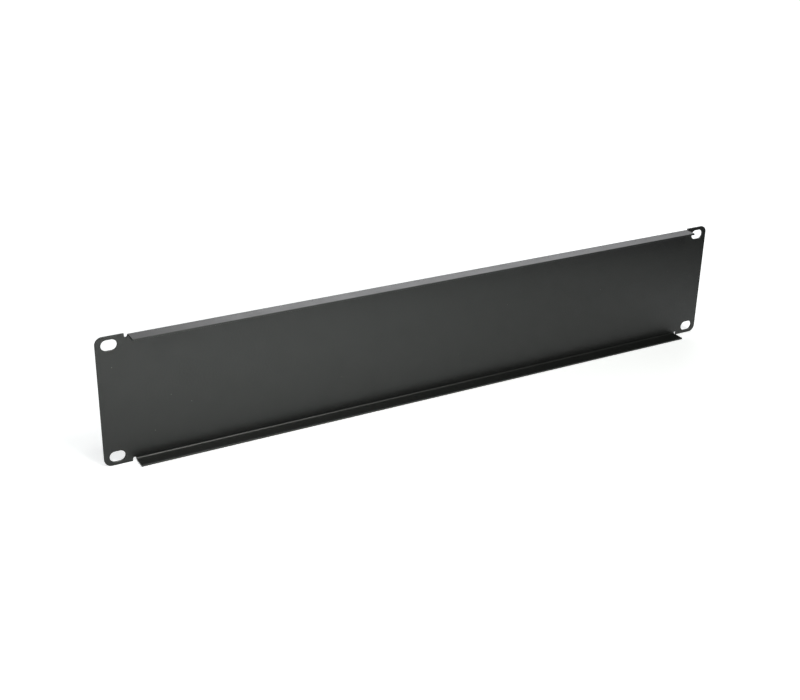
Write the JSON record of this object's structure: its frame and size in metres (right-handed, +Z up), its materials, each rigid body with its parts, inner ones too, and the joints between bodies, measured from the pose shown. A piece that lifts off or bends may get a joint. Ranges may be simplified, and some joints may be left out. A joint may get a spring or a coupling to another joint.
{
  "type": "rack blanking panel",
  "caption": "Flat black steel panel that closes an empty bay of a 19-inch rack, with slotted lugs at both ends and folded stiffening flanges along the top and bottom.",
  "frame": {"origin": "centre of the pattern of the four screw slots, on the rear face of the lugs, which seats on the rack's rails", "axes": "+X along the width, +Y towards the rear, out of the mounting face and the way the flanges reach, +Z up; the plain front face looks towards -Y"},
  "size_m": [0.4826, 0.0114, 0.0882],
  "materials": {
    "black_powder_coat": "satin black powder coat on steel sheet"
  },
  "bodies": {
    "root": {"blanking_panel": "black_powder_coat"}
  },
  "joints": []
}
